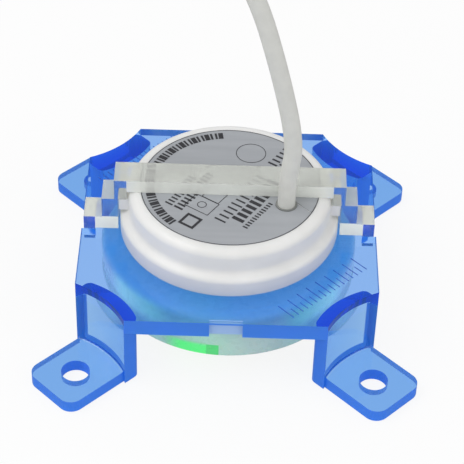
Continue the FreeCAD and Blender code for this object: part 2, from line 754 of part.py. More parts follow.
def make_lamp():
    """Indicator lamp on its flexible strip, under a light guide at the front left of the cup."""
    turn = Rotation(Vector(0, 0, 1), lamp_turn())
    aim = Placement(Vector(0, 0, 0), turn)
    flat = doc.addObject("Part::Box", "flex_flat")
    flat_length = f"{LAMP_REACH} + lamp_length / 2 - flex_start"
    bind(flat, Length=flat_length, Width="flex_width", Height="flex_thick")
    place(flat, "flex_start", "-flex_width / 2", ELECTRODE_TOP)
    rise = doc.addObject("Part::Box", "flex_rise")
    bind(rise, Length="flex_thick", Width="flex_width", Height="holder_height")
    place(rise, "flex_start", "-flex_width / 2", ELECTRODE_TOP)
    flex = join("Fuse", "lamp_flex", flat, rise)
    flex.Placement = aim
    node(flex, "lamp_flex")
    lamp = doc.addObject("Part::Box", "lamp_case")
    bind(lamp, Length="lamp_length", Width="lamp_width", Height="lamp_height")
    lamp_bottom = f"({ELECTRODE_TOP} + flex_thick)"
    place(lamp, f"{LAMP_REACH} - lamp_length / 2", "-lamp_width / 2", lamp_bottom)
    lens = doc.addObject("Part::Sphere", "lamp_lens")
    bind(lens, Radius="lamp_width / 2 - flex_gap", Angle1="0")
    place(lens, LAMP_REACH, "0", f"{lamp_bottom} + lamp_height")
    indicator = join("Fuse", "indicator_lamp", lamp, lens)
    indicator.Placement = aim
    node(indicator, "indicator_lamp")

    outer = rod("guide_outer", f"{CUP_INNER} - guide_gap", "guide_height", up=ELECTRODE_TOP)
    inner = rod("guide_inner", f"{SOCKET_OUTER} + guide_gap", "guide_height", up=ELECTRODE_TOP)
    band = join("Cut", "guide_band", outer, inner)
    window = doc.addObject("Part::Box", "guide_window")
    bind(window, Length="guide_right - guide_left", Width=CUP_INNER, Height="guide_height")
    place(window, "guide_left", f"-{CUP_INNER}", ELECTRODE_TOP)
    solid = join("Common", "guide_solid", band, window)
    tunnel = doc.addObject("Part::Box", "guide_tunnel")
    bind(
        tunnel,
        Length=f"{LAMP_REACH} + lamp_length",
        Width="flex_width + 2 * flex_gap",
        Height="flex_thick + lamp_height + lamp_width / 2",
    )
    place(tunnel, "0", "-flex_width / 2 - flex_gap", ELECTRODE_TOP)
    turned_tunnel = doc.addObject("Part::Compound", "guide_tunnel_turned")
    turned_tunnel.Links = [tunnel]
    turned_tunnel.Placement = aim
    node(join("Cut", "light_guide", solid, turned_tunnel), "light_guide")


# The cable's free route from the collar, over to the left and down to its coil
ROUTE = [
    (12.7, -6.0, 30.6),
    (12.7, -6.0, 38.3),
    (14.0, -6.0, 47.5),
    (10.0, -6.0, 66.0),
    (4.0, -6.0, 87.0),
    (-6.0, -6.0, 104.0),
    (-24.0, -6.0, 113.0),
    (-44.0, -6.0, 109.0),
    (-57.0, -7.0, 93.0),
    (-62.5, -8.5, 71.0),
    (-62.5, -10.5, 48.5),
    (-67.0, -12.7, 29.0),
]
LAST_RUN = 17.0


def arc_share(run):
    """Length of a run that an arc at its end takes up."""
    share = 0.45
    return share * run


def rounded_path(points):
    """Straight runs between points, joined by tangent arcs; gives the edges and the arcs' radii."""
    edges = []
    radii = []
    here = points[0]
    for index in range(1, len(points) - 1):
        spot = points[index]
        back = points[index - 1] - spot
        ahead = points[index + 1] - spot
        shorter = min(back.Length, ahead.Length)
        half_turn = (math.pi - back.getAngle(ahead)) / 2
        taken = arc_share(shorter)
        radius = taken / math.tan(half_turn)
        start = spot + back.normalize() * taken
        stop = spot + ahead.normalize() * taken
        inward = (back + ahead).normalize()
        middle = spot + inward * (radius / math.cos(half_turn) - radius)
        edges.append(Part.LineSegment(here, start).toShape())
        edges.append(Part.Arc(start, middle, stop).toShape())
        radii.append(radius)
        here = stop
    edges.append(Part.LineSegment(here, points[-1]).toShape())
    return edges, radii


def tube(edges, radius):
    """Sweep a round section along joined edges."""
    path = Part.Wire(edges)
    start = path.Edges[0].valueAt(path.Edges[0].FirstParameter)
    heading = path.Edges[0].tangentAt(path.Edges[0].FirstParameter)
    section = Part.Wire([Part.Circle(start, heading, radius).toShape()])
    shape = path.makePipeShell([section], True, False)
    expected = math.pi * radius ** 2 * path.Length
    share = shape.Volume / expected
    print(f"tube length {path.Length:.1f} mm, volume {share:.4f} of section times length")
    return shape


def feature(label, shape):
    """Keep a shape worked out in code as a sub-part."""
    item = doc.addObject("Part::Feature", label)
    item.Shape = shape
    item.Placement = Placement()
    return node(item, label)


def coil_radius_range():
    """Innermost and outermost radius of the coil's centre line."""
    inner = number("coil_inner_radius")
    return inner, inner + number("coil_step * coil_layer_turns")


def coil_turns():
    """Number of turns in the whole coil."""
    layers = int(number("coil_layers"))
    return layers * number("coil_layer_turns") + (layers - 1) * number("coil_climb_turns")


def eased(share):
    """Share of a climb that is done, level where the climb begins and ends."""
    return share * share * (3 - 2 * share)


def coil_point(turns):
    """Point of the coil after a number of turns, from the top layer's outside down to the floor."""
    inner, outer = coil_radius_range()
    layer_turns = number("coil_layer_turns")
    climb_turns = number("coil_climb_turns")
    layers = int(number("coil_layers"))
    cycle = layer_turns + climb_turns
    layer = min(int(turns / cycle), layers - 1)
    spent = turns - layer * cycle
    spiral = min(spent / layer_turns, 1)
    climbed = eased(max(spent - layer_turns, 0) / climb_turns)
    inward = layer % 2 == 0
    radius = outer - (outer - inner) * spiral if inward else inner + (outer - inner) * spiral
    bottom = number("cable_diameter / 2 + floor_clearance")
    height = bottom + (layers - 1 - layer - climbed) * number("coil_layer_step")
    angle = -math.pi / 2 - 2 * math.pi * turns
    across = number("coil_x") + radius * math.cos(angle)
    back = number("coil_y") + radius * math.sin(angle)
    return Vector(across, back, height)


def coil_heading(turns):
    """Direction of the coil's centre line after a number of turns; level at both ends."""
    small = 0.02
    total = coil_turns()
    if turns <= 0:
        return Vector(-1, 0, 0)
    if turns >= total:
        angle = -math.pi / 2 - 2 * math.pi * total
        return Vector(math.sin(angle), -math.cos(angle), 0)
    return (coil_point(turns + small) - coil_point(turns - small)).normalize()


def quarter_arc(start, corner, stop):
    """Arc from start to stop, tangent to the lines that meet at the corner."""
    middle = (start + stop) / 2
    rise = corner - middle
    half_chord = (stop - start).Length / 2
    turn = 2 * math.atan2(rise.Length, half_chord)
    top = middle + rise.normalize() * half_chord * math.tan(turn / 4)
    return Part.Arc(start, top, stop).toShape()


def biarc(start, heading, stop, end_heading):
    """Two tangent arcs from one point and direction to another."""
    chord = stop - start
    square = 2 * (1 - heading.dot(end_heading))
    linear = 2 * chord.dot(heading + end_heading)
    root = math.sqrt(linear ** 2 + 4 * square * chord.dot(chord))
    reach = (root - linear) / (2 * square)
    first_corner = start + heading * reach
    second_corner = stop - end_heading * reach
    meeting = (first_corner + second_corner) / 2
    return [quarter_arc(start, first_corner, meeting), quarter_arc(meeting, second_corner, stop)]


def report_coil_gap(points_per_turn):
    """Print the least distance between the coil's turns, less the cable's diameter."""
    count = int(coil_turns() * points_per_turn)
    points = [coil_point(index / points_per_turn) for index in range(count + 1)]
    apart = points_per_turn // 2
    nearest = min(
        (points[first] - points[second]).Length
        for first in range(count + 1)
        for second in range(first + apart, count + 1)
    )
    gap = nearest - number("cable_diameter")
    print(f"coil: {coil_turns():.1f} turns, least gap to itself {gap:.2f} mm")


def make_cable():
    """Free lead, put-away coil, and the stripped cores with their ferrules."""
    radius = number("cable_diameter / 2")
    straight = number("cable_diameter")
    total = coil_turns()
    first_heading = coil_heading(0)
    last_heading = coil_heading(total)
    coil_start = coil_point(0) - first_heading * straight
    coil_end = coil_point(total) + last_heading * straight

    route = [Vector(*point) for point in ROUTE]
    route += [coil_start - first_heading * LAST_RUN, coil_start]
    edges, radii = rounded_path(route)
    print("lead radii", ", ".join(f"{value:.1f}" for value in radii))
    feature("cable_lead", tube(edges, radius))

    turns = [Part.LineSegment(coil_start, coil_point(0)).toShape()]
    steps = int(round(total * QUARTERS))
    for index in range(steps):
        begin = index / QUARTERS
        end = (index + 1) / QUARTERS
        turns += biarc(coil_point(begin), coil_heading(begin), coil_point(end), coil_heading(end))
    turns.append(Part.LineSegment(coil_point(total), coil_end).toShape())
    points_per_turn = 40
    report_coil_gap(points_per_turn)
    feature("cable_coil", tube(turns, radius))
    make_cores(coil_end, last_heading)


def make_cores(jacket_end, heading):
    """Four stripped cores that fan out on the floor from the jacket's end, with a ferrule on each."""
    side = Vector(-heading.y, heading.x, 0)
    offset = number("core_offset")
    length = number("core_length")
    fan = number("core_fan")
    radius = number("core_diameter / 2")
    low = Vector(0, 0, -offset)
    ferrules = []
    for colour, rank, (along, up) in zip(CORE_COLOURS, CORE_RANKS, quarter_offsets(offset)):
        start = jacket_end + side * along + Vector(0, 0, up)
        spread = side * fan * rank
        lead = start + heading * length / len(CORE_COLOURS)
        end = jacket_end + heading * length + spread + low
        edges, radii = rounded_path([start, lead, end])
        feature(f"core_{colour}", tube(edges, radius))
        direction = (end - lead).normalize()
        ferrule_radius = number("ferrule_diameter / 2")
        ferrules.append(Part.makeCylinder(ferrule_radius, number("ferrule_length"), end, direction))
    feature("core_ferrules", Part.makeCompound(ferrules))


def check_document():
    """Stop if any object failed, any sub-part is not sound, or a pocket cut nothing."""
    for item in doc.Objects:
        if "Invalid" in item.State or "Error" in item.State:
            raise RuntimeError(f"{item.Name} is {item.State}")
        if item.TypeId == "PartDesign::Pocket":
            if item.Shape.Volume >= item.BaseFeature.Shape.Volume:
                raise RuntimeError(f"{item.Name} cuts nothing")
    for item in nodes:
        if item.Shape.isNull() or not item.Shape.isValid():
            raise RuntimeError(f"{item.Label} has no sound shape")


def write_steps():
    """Write each sub-part to a file under its own name."""
    os.makedirs("parts", exist_ok=True)
    for item in nodes:
        item.Shape.exportStep(f"parts/{item.Label}.step")
        print(f"{item.Label}: {len(item.Shape.Solids)} solid, {item.Shape.Volume:.1f} mm3")


fill_sheet()
make_bracket()
make_head()
make_cup()
make_bar()
make_seals()
make_label()
make_cable_entry()
make_inner_wires()
make_electrodes()
make_board()
make_potting()
make_lamp()
make_cable()
doc.recompute()
check_document()
write_steps()
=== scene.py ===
import json
import math

import bmesh
import bpy
from mathutils import Matrix, Vector


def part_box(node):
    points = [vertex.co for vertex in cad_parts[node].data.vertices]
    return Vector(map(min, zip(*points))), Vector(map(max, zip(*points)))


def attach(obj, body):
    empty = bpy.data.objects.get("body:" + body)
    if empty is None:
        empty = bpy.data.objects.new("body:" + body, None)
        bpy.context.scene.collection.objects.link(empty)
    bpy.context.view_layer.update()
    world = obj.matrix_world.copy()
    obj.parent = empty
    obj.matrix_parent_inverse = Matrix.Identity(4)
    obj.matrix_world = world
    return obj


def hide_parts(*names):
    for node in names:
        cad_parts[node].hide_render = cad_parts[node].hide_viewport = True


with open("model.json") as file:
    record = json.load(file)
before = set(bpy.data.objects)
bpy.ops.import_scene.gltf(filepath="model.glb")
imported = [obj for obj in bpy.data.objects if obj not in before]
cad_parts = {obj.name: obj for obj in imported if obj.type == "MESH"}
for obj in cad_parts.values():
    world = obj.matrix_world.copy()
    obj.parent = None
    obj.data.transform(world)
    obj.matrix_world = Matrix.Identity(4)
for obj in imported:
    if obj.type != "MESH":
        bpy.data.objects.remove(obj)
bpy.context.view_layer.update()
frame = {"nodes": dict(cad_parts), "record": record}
nodes = frame["nodes"]

MM = 0.001
SCENE = bpy.context.scene

# Camera, fitted to the photograph's corners and edges
PHOTO_SIDE = 464
CAMERA_PLACE = Vector((-0.06, -323.71, 299.10)) * MM
CAMERA_ROLL = math.radians(1.727)
CAMERA_LENS = 144.0
CAMERA_CLIP = (0.01, 50)
SENSOR_WIDTH = 36.0
ORIGIN_LEFT_OF_MIDDLE = 4.766
ORIGIN_BELOW_MIDDLE = 51.949


def make_camera():
    """Camera at the photograph's place, aimed at the origin and shifted to its framing."""
    data = bpy.data.cameras.new("photo_camera")
    data.sensor_fit = "HORIZONTAL"
    data.sensor_width = SENSOR_WIDTH
    data.lens = CAMERA_LENS
    data.shift_x = ORIGIN_LEFT_OF_MIDDLE / PHOTO_SIDE
    data.shift_y = ORIGIN_BELOW_MIDDLE / PHOTO_SIDE
    data.clip_start, data.clip_end = CAMERA_CLIP
    camera = bpy.data.objects.new("photo_camera", data)
    SCENE.collection.objects.link(camera)
    aim = (-CAMERA_PLACE).to_track_quat("-Z", "Y").to_matrix().to_4x4()
    roll = Matrix.Rotation(CAMERA_ROLL, 4, "Z")
    camera.matrix_world = Matrix.Translation(CAMERA_PLACE) @ aim @ roll
    SCENE.camera = camera


make_camera()

# Cable: given route over the top, then the put-away coil
CABLE_DIAMETER = 4.0 * MM
ROUTE = (
    (12.7, -6.0, 30.6),
    (12.7, -6.0, 38.3),
    (14.0, -6.0, 47.5),
    (10.0, -6.0, 66.0),
    (4.0, -6.0, 87.0),
    (-6.0, -6.0, 104.0),
    (-24.0, -6.0, 113.0),
    (-44.0, -6.0, 109.0),
    (-57.0, -7.0, 93.0),
    (-62.5, -8.5, 71.0),
    (-62.5, -10.5, 48.5),
    (-67.0, -12.7, 29.0),
    (-81.0, -14.525, 17.05),
)
COIL_MIDDLE = Vector((-102.0, 15.0, 0)) * MM
COIL_INNER_RADIUS = 15.5 * MM
COIL_STEP = 5.1 * MM
COIL_LAYERS = 4
COIL_LAYER_STEP = 5.0 * MM
COIL_LAYER_TURNS = 2.75
COIL_CLIMB_TURNS = 0.5
FLOOR_CLEARANCE = 0.05 * MM
POINTS_PER_TURN = 16


def coil_point(turns):
    """Point of the coil after a number of turns, from the top layer's outside down to the floor."""
    outer = COIL_INNER_RADIUS + COIL_STEP * COIL_LAYER_TURNS
    cycle = COIL_LAYER_TURNS + COIL_CLIMB_TURNS
    layer = min(int(turns / cycle), COIL_LAYERS - 1)
    spent = turns - layer * cycle
    spiral = min(spent / COIL_LAYER_TURNS, 1)
    climbed = max(spent - COIL_LAYER_TURNS, 0) / COIL_CLIMB_TURNS
    climbed = climbed * climbed * (3 - 2 * climbed)
    inward = layer % 2 == 0
    swing = (outer - COIL_INNER_RADIUS) * spiral
    radius = outer - swing if inward else COIL_INNER_RADIUS + swing
    height = CABLE_DIAMETER / 2 + FLOOR_CLEARANCE + (COIL_LAYERS - 1 - layer - climbed) * COIL_LAYER_STEP
    angle = -math.tau * (turns + 0.25)
    return COIL_MIDDLE + Vector((radius * math.cos(angle), radius * math.sin(angle), height))


def cable_points():
    """Control points of the whole cable, from the collar to the cut end."""
    total = COIL_LAYERS * COIL_LAYER_TURNS + (COIL_LAYERS - 1) * COIL_CLIMB_TURNS
    points = [Vector(place) * MM for place in ROUTE]
    start = coil_point(0)
    points.append(start + Vector((CABLE_DIAMETER, 0, 0)))
    count = round(total * POINTS_PER_TURN)
    points += [coil_point(total * index / count) for index in range(count + 1)]
    points.append(coil_point(total) + Vector((CABLE_DIAMETER, 0, 0)))
    return points


def make_cable():
    """The cable as one smooth round cord."""
    data = bpy.data.curves.new("cable", "CURVE")
    data.dimensions = "3D"
    data.bevel_depth = 1.0
    data.bevel_resolution = 6
    data.use_fill_caps = True
    points = cable_points()
    spline = data.splines.new("NURBS")
    spline.points.add(len(points) - 1)
    for target, place in zip(spline.points, points):
        target.co = (*place, 1)
        target.radius = CABLE_DIAMETER / 2
    spline.order_u = 3
    spline.use_endpoint_u = True
    spline.resolution_u = 8
    cable = bpy.data.objects.new("cable", data)
    SCENE.collection.objects.link(cable)
    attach(cable, "base")
    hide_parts("cable_lead", "cable_coil")
    return cable


cable = make_cable()

# Enough bounces to follow light through the stacked clear walls
CLEAR_BOUNCES = 32
GLOSSY_BOUNCES = 16
SCENE.view_settings.view_transform = "Standard"
SCENE.cycles.max_bounces = CLEAR_BOUNCES
SCENE.cycles.transmission_bounces = CLEAR_BOUNCES
SCENE.cycles.glossy_bounces = GLOSSY_BOUNCES
SCENE.cycles.transparent_max_bounces = CLEAR_BOUNCES

# Places of the colour sockets on a Mix node
MIX_COLOUR_INPUTS = (6, 7)
MIX_COLOUR_OUTPUT = 2


class Surface:
    """A procedural material with a Principled shader, and helpers for its masks and noise."""

    def __init__(self, name, colour, roughness, **sockets):
        self.material = bpy.data.materials.new(name)
        self.material.use_nodes = True
        self.tree = self.material.node_tree
        self.shader = self.tree.nodes["Principled BSDF"]
        self.output = self.tree.nodes["Material Output"]
        self.set("Base Color", (*colour, 1))
        self.set("Roughness", roughness)
        for socket, value in sockets.items():
            self.set(socket.replace("_", " "), value)
        coordinates = self.node("ShaderNodeTexCoord")
        self.place = coordinates.outputs["Object"]
        self.facing = coordinates.outputs["Normal"]

    def set(self, socket, value):
        """Set one of the shader's own sockets."""
        self.shader.inputs[socket].default_value = value

    def node(self, kind, **values):
        """New node with its settings and plain inputs."""
        new = self.tree.nodes.new(kind)
        for name, value in values.items():
            if hasattr(new, name):
                setattr(new, name, value)
            else:
                new.inputs[name.replace("_", " ")].default_value = value
        return new

    def link(self, source, target):
        """Lead one socket into another."""
        self.tree.links.new(source, target)

    def stretched(self, scales):
        """Object coordinates multiplied along each axis."""
        mapping = self.node("ShaderNodeMapping")
        mapping.inputs["Scale"].default_value = scales
        self.link(self.place, mapping.inputs["Vector"])
        return mapping.outputs["Vector"]

    def noise(self, scale, detail=4.0, place=None):
        """Noise value with features of about 1 / scale metres."""
        texture = self.node("ShaderNodeTexNoise", Scale=scale, Detail=detail)
        self.link(place or self.place, texture.inputs["Vector"])
        return texture.outputs["Fac"]

    def ranged(self, value, low, high, from_low=0.3, from_high=0.7):
        """Value mapped to a new range, with smooth ends."""
        limits = {"From Min": from_low, "From Max": from_high, "To Min": low, "To Max": high}
        mapped = self.node("ShaderNodeMapRange", interpolation_type="SMOOTHSTEP")
        for socket, limit in limits.items():
            mapped.inputs[socket].default_value = limit
        self.link(value, mapped.inputs["Value"])
        return mapped.outputs["Result"]

    def rising(self, value, start, stop):
        """0 up to the start and 1 from the stop on."""
        return self.ranged(value, 0, 1, start, stop)

    def falling(self, value, start, stop):
        """1 up to the start and 0 from the stop on."""
        return self.ranged(value, 1, 0, start, stop)

    def mixed(self, share, first, second, blend="MIX"):
        """Colour between two colours, given as tuples or sockets."""
        mix = self.node("ShaderNodeMix", data_type="RGBA", blend_type=blend)
        if isinstance(share, int):
            mix.inputs["Factor"].default_value = share
        else:
            self.link(share, mix.inputs["Factor"])
        for index, colour in zip(MIX_COLOUR_INPUTS, (first, second)):
            if isinstance(colour, tuple):
                mix.inputs[index].default_value = (*colour, 1)
            else:
                self.link(colour, mix.inputs[index])
        return mix.outputs[MIX_COLOUR_OUTPUT]

    def summed(self, first, second):
        """Sum of two colours."""
        return self.mixed(1, first, second, "ADD")

    def calculated(self, operation, *values):
        """Result of one math operation on numbers and sockets."""
        step = self.node("ShaderNodeMath", operation=operation)
        for socket, value in zip(step.inputs, values):
            if isinstance(value, (int, float)):
                socket.default_value = value
            else:
                self.link(value, socket)
        return step.outputs[0]

    def times(self, first, *others):
        """Product of all the values."""
        for other in others:
            first = self.calculated("MULTIPLY", first, other)
        return first

    def plus(self, first, second):
        """Sum of two values."""
        return self.calculated("ADD", first, second)

    def less(self, whole, part):
        """The whole without the part."""
        return self.calculated("SUBTRACT", whole, part)

    def most(self, first, second):
        """The larger of two values."""
        return self.calculated("MAXIMUM", first, second)

    def size_of(self, value):
        """A value without its sign."""
        return self.calculated("ABSOLUTE", value)

    def below(self, value, limit):
        """1 where a value is less than the limit, 0 elsewhere."""
        return self.calculated("LESS_THAN", value, limit)

    def above(self, value, limit):
        """1 where a value is more than the limit, 0 elsewhere."""
        return self.calculated("GREATER_THAN", value, limit)

    def parts(self, vector):
        """The three components of a vector."""
        split = self.node("ShaderNodeSeparateXYZ")
        self.link(vector, split.inputs["Vector"])
        return tuple(split.outputs[axis] for axis in "XYZ")

    def near(self, value, middle, reach):
        """1 where a value is within reach of the middle, 0 elsewhere."""
        return self.calculated("COMPARE", value, middle, reach)

    def vary_colour(self, first, second, scale, detail=3.0):
        """Cloudy colour between two near tones."""
        share = self.ranged(self.noise(scale, detail), 0, 1)
        self.link(self.mixed(share, first, second), self.shader.inputs["Base Color"])

    def vary_roughness(self, low, high, scale, detail=4.0):
        """Uneven gloss."""
        self.link(self.ranged(self.noise(scale, detail), low, high), self.shader.inputs["Roughness"])

    def bump(self, height, distance, strength=1.0):
        """Fine relief from a height value."""
        relief = self.node("ShaderNodeBump", Strength=strength, Distance=distance)
        self.link(height, relief.inputs["Height"])
        self.link(relief.outputs["Normal"], self.shader.inputs["Normal"])

    def absorb(self, colour, density):
        """Tint what passes through the solid by its thickness."""
        volume = self.node("ShaderNodeVolumeAbsorption", Density=density)
        volume.inputs["Color"].default_value = (*colour, 1)
        self.link(volume.outputs["Volume"], self.output.inputs["Volume"])


FINE_RELIEF = 0.004 * MM
PLASTIC_SHADE = 0.9
METAL_SHADE = 0.8
INK_SHADE = 1.5


def plain_plastic(name, colour, roughness, shade=PLASTIC_SHADE):
    """Moulded plastic or rubber with faint clouds, uneven gloss and a fine grain."""
    surface = Surface(name, colour, roughness)
    darker = tuple(shade * channel for channel in colour)
    surface.vary_colour(darker, colour, scale=400)
    surface.vary_roughness(roughness - 0.06, roughness + 0.08, scale=900)
    surface.bump(surface.noise(5000, 2.0), FINE_RELIEF)
    return surface.material


def plain_metal(name, colour, roughness):
    """Plated metal with fine drawn lines."""
    surface = Surface(name, colour, roughness, Metallic=1.0)
    darker = tuple(METAL_SHADE * channel for channel in colour)
    surface.vary_colour(darker, colour, scale=700)
    surface.vary_roughness(roughness - 0.08, roughness + 0.12, scale=1500)
    surface.bump(surface.noise(4000, 2.0, surface.stretched((1, 1, 0.1))), FINE_RELIEF)
    return surface.material


# Places on the bracket
RECESS_WALL_Y = -32.85 * MM
RECESS_HALF = 3.7 * MM
WALL_REACH = 0.1 * MM
FOOT_SIDE_TOP = 2.95 * MM
FOOT_TOP = 3.05 * MM
PLATE_BOTTOM = 15.3 * MM
PLATE_HALF = 33.7 * MM

# What the blue plastic lets through, its faint painted blue glow, its tints, the painted shade on its feet,
# and its satin places
BLUE_PASSED = (0.10, 0.45, 0.935)
BLUE_DENSITY = 300.0
BLUE_IOR = 1.49
BLUE_PAINTED_GLOW = (0.04, 0.45, 1.0, 1)
BLUE_PAINTED_GLOW_STRENGTH = 0.085
PLATE_TINT = (0.98, 0.99, 0.88)
LEG_TINT = (0.97, 0.99, 0.78)
BLUE_FOOT_PAINTED_SHADE = (0.52, 0.70, 0.80)
CUT_EDGE_BLUE = (0.05, 0.25, 0.92)
RECESS_BLUE = (0.42, 0.58, 0.86)
SATIN_ROUGHNESS = 0.4
CUT_FACING = (0.70, 0.92)
SIDE_FACING = (0.6, 0.9)
CUT_EDGE_COVER = 0.60
RECESS_COVER = 0.80


def blue_plastic():
    """Clear blue plastic: pale through its thickness, deep blue along it, satin where it was cut, with a
    faint painted blue glow and painted shade on its feet.
    """
    surface = Surface("blue_plastic", PLATE_TINT, 0.03, Transmission_Weight=1.0, IOR=BLUE_IOR)
    surface.absorb(BLUE_PASSED, BLUE_DENSITY)
    # Painted glow: a faint blue emission over all of the plastic
    surface.set("Emission Color", BLUE_PAINTED_GLOW)
    surface.set("Emission Strength", BLUE_PAINTED_GLOW_STRENGTH)
    x, y, z = surface.parts(surface.place)
    normal_x, normal_y, _ = surface.parts(surface.facing)
    recess = surface.times(surface.near(x, 0, RECESS_HALF), surface.near(y, RECESS_WALL_Y, WALL_REACH))

    sign_x, sign_y = (surface.calculated("SIGN", value) for value in (x, y))
    across = surface.less(surface.times(sign_x, normal_y), surface.times(sign_y, normal_x))
    across = surface.size_of(across)
    cut_side = surface.rising(across, *CUT_FACING)
    level = surface.plus(surface.times(normal_x, normal_x), surface.times(normal_y, normal_y))
    foot_side = surface.times(surface.rising(level, *SIDE_FACING), surface.below(z, FOOT_SIDE_TOP))
    beyond_plate = surface.above(surface.most(surface.size_of(x), surface.size_of(y)), PLATE_HALF)
    outside = surface.most(beyond_plate, surface.below(z, PLATE_BOTTOM))
    edge = surface.most(surface.times(cut_side, outside), foot_side)

    colour = surface.mixed(surface.below(z, PLATE_BOTTOM), PLATE_TINT, LEG_TINT)
    # Painted shade: the feet are darker, standing in for the dim floor seen through them
    colour = surface.mixed(surface.below(z, FOOT_TOP), colour, BLUE_FOOT_PAINTED_SHADE)
    colour = surface.mixed(edge, colour, CUT_EDGE_BLUE)
    colour = surface.mixed(recess, colour, RECESS_BLUE)
    surface.link(colour, surface.shader.inputs["Base Color"])
    gloss = surface.ranged(surface.noise(300), 0.015, 0.06)
    satin = surface.times(surface.most(edge, recess), SATIN_ROUGHNESS)
    surface.link(surface.most(gloss, satin), surface.shader.inputs["Roughness"])
    clear = surface.less(1.0, surface.times(edge, CUT_EDGE_COVER))
    clear = surface.less(clear, surface.times(recess, RECESS_COVER))
    surface.link(clear, surface.shader.inputs["Transmission Weight"])
    surface.bump(surface.noise(120, 2.0), 0.008 * MM, 0.5)
    return surface.material


# Places on the retaining bar
SPAN_HALF = 23.3 * MM
TAB_START = 30.6 * MM
BAR_FOOT_TOP = 23.0 * MM
CLEAR_TINT = (0.97, 0.98, 0.95)
MILKY_TINT = (0.92, 0.95, 0.90)
CLEAR_SHARE = 0.95
FRONT_COVER = 0.80
TOP_COVER = 0.38
# Painted light: glow on the front faces of the bar's feet
BAR_FOOT_PAINTED_LIGHT = 0.19
BAR_FOOT_PAINTED_LIGHT_COLOUR = (0.98, 1.0, 0.72, 1)
FRONT_FACING = (-0.9, -0.5)
TOP_FACING = (0.5, 0.9)


def frosted_clear():
    """Clear plastic of the retaining bar, milky on top and on the faces over what it presses on, with
    painted light on the front faces of its feet.
    """
    surface = Surface("frosted_clear", CLEAR_TINT, 0.12, Transmission_Weight=CLEAR_SHARE, IOR=1.45)
    surface.absorb((0.80, 0.86, 0.62), 30.0)
    x, y, z = surface.parts(surface.place)
    _, normal_y, normal_z = surface.parts(surface.facing)
    width = surface.size_of(x)
    over_head = surface.below(width, SPAN_HALF)
    in_foot = surface.times(surface.below(width, TAB_START), surface.below(z, BAR_FOOT_TOP))
    front = surface.times(surface.falling(normal_y, *FRONT_FACING), surface.below(y, 0.0))
    milky_front = surface.times(front, surface.most(over_head, in_foot))
    top = surface.rising(normal_z, *TOP_FACING)

    clouds = surface.ranged(surface.noise(160), 0.85, 1.0)
    milky = surface.most(surface.times(milky_front, FRONT_COVER), surface.times(top, TOP_COVER))
    milky = surface.times(milky, clouds)
    surface.link(surface.mixed(milky, CLEAR_TINT, MILKY_TINT), surface.shader.inputs["Base Color"])
    surface.link(surface.less(CLEAR_SHARE, milky), surface.shader.inputs["Transmission Weight"])
    # Painted light: a faint glow that brightens the front faces of the feet
    surface.link(surface.times(front, in_foot, BAR_FOOT_PAINTED_LIGHT), surface.shader.inputs["Emission Strength"])
    surface.set("Emission Color", BAR_FOOT_PAINTED_LIGHT_COLOUR)
    surface.vary_roughness(0.08, 0.18, scale=700)
    surface.bump(surface.noise(2500, 3.0), 0.006 * MM)
    return surface.material


def white_ptfe():
    """Turned white fluoropolymer with faint turning lines."""
    surface = Surface(
        "white_ptfe", (0.83, 0.83, 0.82), 0.38,
        Subsurface_Weight=0.3, Subsurface_Scale=1.5 * MM, Subsurface_Radius=(1.0, 0.95, 0.9),
    )
    surface.vary_colour((0.80, 0.80, 0.79), (0.86, 0.86, 0.85), scale=90)
    surface.vary_roughness(0.30, 0.46, scale=800)
    surface.bump(surface.noise(3000, 2.0, surface.stretched((0.15, 0.15, 1.0))), 0.006 * MM)
    return surface.material


# Painted green light on the cup from the lamp inside: a bright block, a bright strip to its left and a halo
# about the lamp
GLOW_GREEN = (0.06, 0.80, 0.14)
PAINTED_LIT_COLOUR = (0.10, 0.46, 0.20)
BLOCK_GLOW = 0.40
BRIGHT_GLOW = 0.70
HALO_GLOW = 0.16
HALO_REACH = (2 * MM, 13 * MM)
FRONT_DEPTH = (-22 * MM, -18 * MM)
LAMP_PLACE = Vector((-6.4, -26.0, 8.0)) * MM
GLOW_TOP = 8.3 * MM
GLOW_FADE = 0.8 * MM
BLOCK_TOP = 8.4 * MM
BLOCK_LEFT = -4.3 * MM
BLOCK_RIGHT = -1.5 * MM
BRIGHT_LEFT = -9.5 * MM
GLOW_LEFT = -15.0 * MM
EDGE = 0.15 * MM

# Painted daylight: glow that stands in for the light through the cup's sides, roof and front corners
PAINTED_SIDE_LIGHT = (0.45, 0.40, 0.40)
PAINTED_ROOF_LIGHT = (0.11, 0.26, 0.34)
PAINTED_LOW_TEAL = (0.10, 0.17, 0.11)
PAINTED_HIGH_TEAL = (0.14, 0.40, 0.10)
DARK = (0, 0, 0)

# Where each kind of painted light and colour begins and ends on the cup
SIDE_WIDTH = (14 * MM, 25 * MM)
SIDE_HEIGHT = (7 * MM, 10 * MM)
LEG_WIDTH = (19 * MM, 23 * MM)
LEG_DEPTH = (-8 * MM, 0)
LEG_SHARE = 0.6
ROOF_HEIGHT = (12.6 * MM, 15 * MM)
WALL_HEIGHT = (11 * MM, 13 * MM)
CORNER_WIDTH = (11 * MM, 18 * MM)
CORNER_DEPTH = (-18 * MM, -12 * MM)
CORNER_HEIGHT = (13 * MM, 15 * MM)
CORNER_RADIUS = (25 * MM, 28 * MM)
TEAL_HEIGHT = (7 * MM, 11 * MM)


